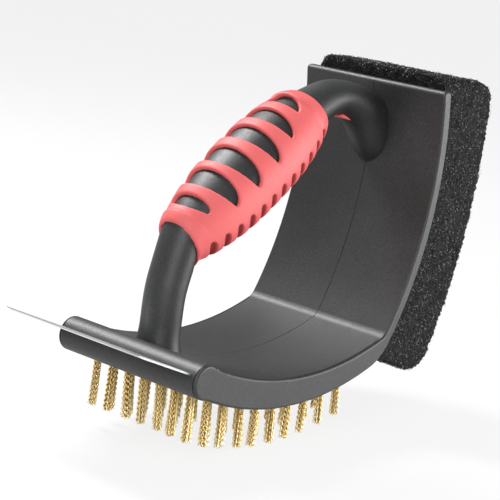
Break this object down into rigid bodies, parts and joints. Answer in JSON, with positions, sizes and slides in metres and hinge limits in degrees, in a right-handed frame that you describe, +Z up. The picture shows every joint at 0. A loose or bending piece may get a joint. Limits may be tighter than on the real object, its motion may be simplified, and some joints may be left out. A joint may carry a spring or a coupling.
{
  "type": "grill cleaning brush",
  "caption": "Hand tool for cleaning a grill: loop handle with a soft grip, crimped brass tufts under a curved head, scraper blade in front, scouring pad behind.",
  "frame": {"origin": "middle of the base, level with the lowest tuft tips", "axes": "+X to the rear, towards the scouring pad; -X towards the scraper blade; +Z up along the tufts; +Y to the side with the screws"},
  "size_m": [0.2424, 0.09, 0.1802],
  "materials": {
    "body_plastic": "fine moulded texture",
    "grip_rubber": "soft satin",
    "brass_wire": "crimped wire",
    "anchor_steel": "flat wire",
    "blade_steel": "rolled stainless",
    "screw_steel": "zinc plated",
    "pad_fibre": "non-woven abrasive fibre",
    "hook_nylon": "hook and loop tape"
  },
  "bodies": {
    "tool": {"blade_pins": "anchor_steel", "body_screws": "screw_steel", "bristle_plate": "body_plastic", "grip_sleeve": "grip_rubber", "grip_tongue": "grip_rubber", "left_half_shell": "body_plastic", "pad_hook_sheet": "hook_nylon", "right_half_shell": "body_plastic", "scraper_blade": "blade_steel", "tuft_anchors": "anchor_steel", "tuft_row_01": "brass_wire", "tuft_row_02": "brass_wire", "tuft_row_03": "brass_wire", "tuft_row_04": "brass_wire", "tuft_row_05": "brass_wire", "tuft_row_06": "brass_wire", "tuft_row_07": "brass_wire", "tuft_row_08": "brass_wire", "tuft_row_09": "brass_wire", "tuft_row_10": "brass_wire"},
    "pad": {"scouring_pad": "pad_fibre", "pad_loop_backing": "hook_nylon"}
  },
  "joints": [
    {"name": "pad_pull", "type": "slide", "parent": "tool", "child": "pad", "axis": [1, 0, 0], "range_m": [0, 0.03]}
  ]
}
